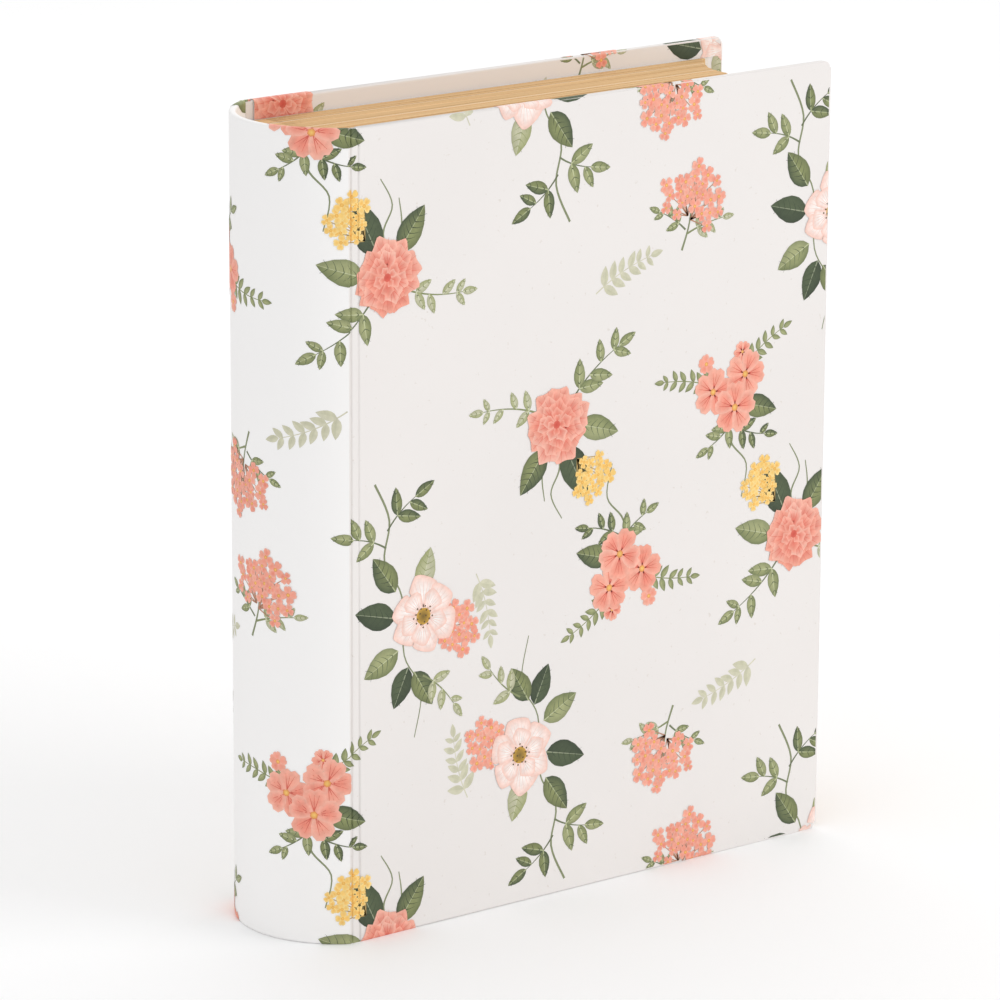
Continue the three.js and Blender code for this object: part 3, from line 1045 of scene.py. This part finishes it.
def bending_sheet(node, thickness, uneven, seed, back):
    """A leaf from back, on its bound margin, to the fore-edge, thinned towards its crease."""
    r = random.Random(seed)
    low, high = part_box(node)
    y = (low.y + high.y) / 2
    margin = [] if back is None else [back]
    fore = high.x + r.uniform(-uneven, uneven)
    top = high.z + r.uniform(-uneven, uneven)
    bottom = low.z - r.uniform(-uneven, uneven)
    stations = margin + [CREASE + past * MM for past in (-0.5, -0.3, -0.15, 0, 0.25, 0.5, 1, 2, 4, 7, 10, 13, 16, 20, 25)]
    if back is None:
        stations = [x for x in stations if x > CREASE - 0.2 * MM]
    stations += [CREASE + 25 * MM + (fore - CREASE - 25 * MM) * i / 8 for i in range(1, 9)]
    build = bmesh.new()
    rings = []
    for x in stations:
        half = min(thickness, room_at(node, x - CREASE)) / 2
        rings.append([build.verts.new((x, y + dy, z)) for dy, z in (
            (-half, bottom), (half, bottom), (half, top), (-half, top))])
    for a, b in zip(rings, rings[1:]):
        for i in range(4):
            j = (i + 1) % 4
            build.faces.new((a[i], a[j], b[j], b[i]))
    build.faces.new(rings[0])
    build.faces.new(rings[-1])
    bmesh.ops.recalc_face_normals(build, faces=build.faces[:])
    return build, y


# ---- Operators ----
class ALBUM_OT_covers(bpy.types.Operator):
    """Build the two covers in their printed paper, with the boards and pastedowns"""

    bl_idname = "album.covers"
    bl_label = "Covers"

    def execute(self, context):
        case = context.scene.album_case
        paper = printed_paper(case.paper)
        board = greyboard()
        endpaper = plain_sheet("endpaper", (0.84, 0.80, 0.73))
        for side, name in ((-1, "front"), (1, "rear")):
            mesh = mesh_from(rounded_slab(side, case.edge_round), f"{name}_cover_case", smooth=True)
            mesh.materials.append(paper)
            cover = new_object(f"{name}_cover_case", mesh)
            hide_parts(f"{name}_cover_paper")
            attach(cover, f"{name}_cover")
            dress(f"{name}_board", board)
            dress(f"{name}_pastedown", endpaper)
        dress("spine_board", board)
        return {"FINISHED"}


class ALBUM_OT_spine(bpy.types.Operator):
    """Build the rounded spine, its mull and the two joints with their linings"""

    bl_idname = "album.spine"
    bl_label = "Spine and Joints"

    def execute(self, context):
        case = context.scene.album_case
        mesh = mesh_from(spine_shell(case.edge_round), "spine_case", smooth=True)
        mesh.set_sharp_from_angle(angle=math.radians(60))
        mesh.materials.append(bpy.data.materials["printed_paper"])
        spine = new_object("spine_case", mesh)
        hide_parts("spine_cover_paper")
        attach(spine, "spine")
        dress("spine_mull", mull_cloth())
        folding = printed_paper(case.paper, rest=True)
        profile = joint_profile(case)
        for side, name in ((-1, "front"), (1, "rear")):
            for part, build in (("joint", joint_strip(side, profile)), ("joint_lining", joint_lining(side))):
                mesh = mesh_from(build, f"{name}_{part}", smooth=True)
                mesh.set_sharp_from_angle(angle=math.radians(60))
                mesh.materials.append(folding)
                keep_rest(mesh)
                strip = new_object(f"{name}_{part}", mesh)
                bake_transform(strip)
        return {"FINISHED"}


class ALBUM_OT_block(bpy.types.Operator):
    """Build the leaves, pale sheets and flyleaves, each thinned towards its crease"""

    bl_idname = "album.block"
    bl_label = "Block of Leaves"

    def execute(self, context):
        block = context.scene.album_block
        kinds = {
            "leaf": (kraft_card(block.kraft, rest=True), "kraft_card", block.leaf_thickness),
            "divider": (plain_sheet("divider_paper", block.divider, rest=True), "divider_paper", 0.5 * MM),
            "flyleaf": (plain_sheet("endpaper_bending", (0.84, 0.80, 0.73), rest=True), "endpaper", 0.1 * MM),
        }
        for seed, node in enumerate(SHEETS):
            kind = "flyleaf" if node.endswith("_flyleaf") else node.split("_")[0]
            material, slot, thickness = kinds[kind]
            back = {"leaf": None, "flyleaf": X_RIDGE + 1.4 * MM, "divider": CREASE - 12 * MM}[kind]
            build, y = bending_sheet(node, thickness, block.unevenness if kind == "leaf" else 0, seed, back)
            mesh = mesh_from(build, f"{node}_card")
            mesh.materials.append(material)
            keep_rest(mesh)
            made = new_object(f"{node}_card", mesh)
            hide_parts(node)
            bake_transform(made)
        guards = kraft_card(block.kraft)
        for node in frame["nodes"]:
            if node.startswith("gathering_guard_"):
                dress(node, guards)
        return {"FINISHED"}


class ALBUM_OT_print(bpy.types.Operator):
    """Print the flowers over the covers, joints and spine, and round their edges"""

    bl_idname = "album.print"
    bl_label = "Floral Print"

    def execute(self, context):
        scene = context.scene
        sheet = PrintedSheet(scene.album_case)
        ink = print_ink()
        field = printed_field(scene.album_print, ink)
        for part, side in (("spine", -1), ("joint", -1), ("joint", 1), ("cover", -1), ("cover", 1)):
            made = print_on(field, sheet, part, side, scene.album_print.lift, ink)
            if made is None:
                continue
            name = "rear" if side > 0 else "front"
            if part == "joint":
                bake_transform(made)
            else:
                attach(made, "spine" if part == "spine" else f"{name}_cover")
        bpy.data.meshes.remove(field)
        return {"FINISHED"}


class ALBUM_OT_stage(bpy.types.Operator):
    """Set up the floor, the soft studio lights and the camera"""

    bl_idname = "album.stage"
    bl_label = "Studio"

    def execute(self, context):
        stage = context.scene.album_stage
        build = bmesh.new()
        bmesh.ops.create_grid(build, x_segments=1, y_segments=1, size=6)
        floor = new_object("floor", mesh_from(build, "floor"))
        floor.data.materials.append(plain_sheet("floor_paint", stage.floor, grain=3, dark=0.998, light=1.002))
        world = bpy.data.worlds.new("studio")
        world.use_nodes = True
        surround = world.node_tree.nodes["Background"]
        surround.inputs["Color"].default_value = (1, 1, 1, 1)
        surround.inputs["Strength"].default_value = stage.world_strength
        context.scene.world = world
        context.scene.view_settings.view_transform = "Standard"
        target = Vector((0, 0, HEIGHT / 2))
        for name, place, size, power, colour in (
            ("key", (1.3, -1.7, 1.5), 1.4, stage.key_power, (1, 1, 1)),
            ("fill", (-1.9, -0.9, 0.9), 1.2, stage.key_power * 0.16, (0.82, 0.90, 1)),
            ("back", (0.9, 1.15, 1.9), 2.0, stage.key_power * 0.75, (1, 1, 1)),
        ):
            light = bpy.data.lights.new(name, "AREA")
            light.size = size
            light.energy = power
            light.color = colour
            lamp = bpy.data.objects.new(name, light)
            lamp.location = place
            aim = target if name != "back" else Vector((place[0], place[1], 0))
            lamp.rotation_euler = (aim - Vector(place)).to_track_quat("-Z", "Y").to_euler()
            context.scene.collection.objects.link(lamp)
        azimuth, elevation, roll = math.radians(37.8), math.radians(14.97), math.radians(0.3)
        back = Vector((
            -math.sin(azimuth) * math.cos(elevation), -math.cos(azimuth) * math.cos(elevation), math.sin(elevation),
        ))
        right = Vector((0, 0, 1)).cross(back).normalized()
        up = back.cross(right)
        right, up = right * math.cos(roll) + up * math.sin(roll), up * math.cos(roll) - right * math.sin(roll)
        camera = bpy.data.objects.new("camera", bpy.data.cameras.new("camera"))
        camera.data.lens = 196.4
        camera.data.clip_end = 50
        eye = Vector((X_LIP + 0.4 * MM, 0, HEIGHT / 2)) + HEIGHT * (back * 6.546 + right * 0.2331 + up * 0.0279)
        turn = Matrix((right, up, back)).transposed()
        camera.matrix_world = Matrix.Translation(eye) @ turn.to_4x4()
        context.scene.collection.objects.link(camera)
        context.scene.camera = camera
        return {"FINISHED"}


class ALBUM_PT_panel(bpy.types.Panel):
    bl_idname = "ALBUM_PT_panel"
    bl_label = "Scrapbook Album"
    bl_space_type = "VIEW_3D"
    bl_region_type = "UI"
    bl_category = "Album"

    def draw(self, context):
        layout = self.layout
        for group in SETTINGS:
            box = layout.box()
            settings = getattr(context.scene, group)
            for name in settings.__annotations__:
                box.prop(settings, name)
        for operator in OPERATORS:
            layout.operator(operator.bl_idname)


SETTINGS = {
    "album_case": AlbumCaseSettings,
    "album_block": AlbumBlockSettings,
    "album_print": AlbumPrintSettings,
    "album_stage": AlbumStageSettings,
}
OPERATORS = (
    ALBUM_OT_stage,
    ALBUM_OT_covers,
    ALBUM_OT_spine,
    ALBUM_OT_block,
    ALBUM_OT_print,
)


def register():
    for group, settings in SETTINGS.items():
        bpy.utils.register_class(settings)
        setattr(bpy.types.Scene, group, bpy.props.PointerProperty(type=settings))
    for operator in OPERATORS:
        bpy.utils.register_class(operator)
    bpy.utils.register_class(ALBUM_PT_panel)


def unregister():
    bpy.utils.unregister_class(ALBUM_PT_panel)
    for operator in reversed(OPERATORS):
        bpy.utils.unregister_class(operator)
    for group, settings in reversed(SETTINGS.items()):
        delattr(bpy.types.Scene, group)
        bpy.utils.unregister_class(settings)


def main():
    register()
    bpy.ops.album.stage()
    bpy.ops.album.covers()
    bpy.ops.album.spine()
    bpy.ops.album.block()
    bpy.ops.album.print()


if __name__ == "__main__":
    main()
